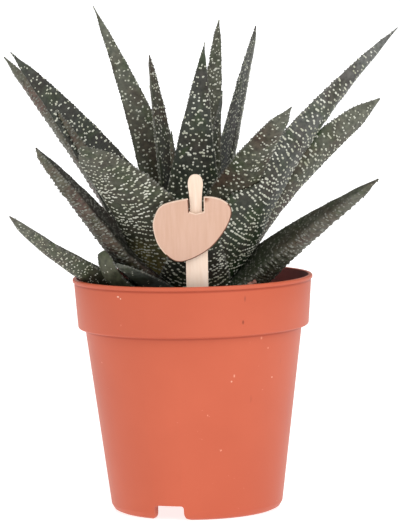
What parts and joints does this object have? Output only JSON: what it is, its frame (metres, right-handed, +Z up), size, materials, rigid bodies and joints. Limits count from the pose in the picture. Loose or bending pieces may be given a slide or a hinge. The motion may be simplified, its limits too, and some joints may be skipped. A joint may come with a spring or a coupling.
{
  "type": "potted haworthia",
  "caption": "Stemless haworthia with long dark keeled leaves covered in white bumps, in a round stepped-collar nursery pot with a bare wooden pick.",
  "frame": {"origin": "on the table under the middle of the whole outline; the pot axis is 5 mm to -X of it", "axes": "+Z up along the pot axis, -Y towards the side with the wooden pick, +X to the right of that side"},
  "size_m": [0.1739, 0.1327, 0.2206],
  "materials": {
    "terracotta_plastic": "injection-moulded polypropylene, terracotta orange, faint satin sheen",
    "potting_mix": "loose dark composted bark and peat with pale grit",
    "root": "cream fleshy root and crown, dull",
    "leaf_grey": "dark grey-green succulent skin with raised white tubercles, satin",
    "leaf_olive": "dark olive succulent skin with raised white tubercles, satin",
    "leaf_brown": "brown-purple flushed succulent skin with raised white tubercles, satin",
    "leaf_dark": "deep green succulent skin with raised white tubercles, satin",
    "leaf_pale": "paler grey-green succulent skin, satin",
    "dry_leaf": "papery reddish-brown dead leaf",
    "bare_birch": "bare pale wood, sanded",
    "tag_wood": "bare warm wood sheet, sanded, with a scorched laser-cut edge"
  },
  "bodies": {
    "root": {"pot": "terracotta_plastic", "soil": "potting_mix", "stem_and_roots": "root", "leaf_01": "leaf_dark", "leaf_02": "leaf_brown", "leaf_03": "leaf_dark", "leaf_04": "leaf_olive", "leaf_05": "leaf_olive", "leaf_06": "leaf_grey", "leaf_07": "leaf_olive", "leaf_08": "leaf_olive", "leaf_09": "leaf_grey", "leaf_10": "leaf_dark", "leaf_11": "leaf_olive", "leaf_12": "leaf_dark", "leaf_13": "leaf_olive", "leaf_14": "leaf_brown", "leaf_15": "leaf_grey", "leaf_16": "leaf_brown", "leaf_17": "leaf_olive", "leaf_18": "leaf_olive", "leaf_19": "leaf_brown", "leaf_20": "leaf_grey", "leaf_21": "leaf_olive", "leaf_22": "leaf_olive", "leaf_23": "leaf_pale", "leaf_24": "leaf_olive", "leaf_25": "leaf_grey", "leaf_26": "leaf_brown", "dry_leaf": "dry_leaf", "pick_stick": "bare_birch", "pick_tag": "tag_wood"}
  },
  "joints": []
}
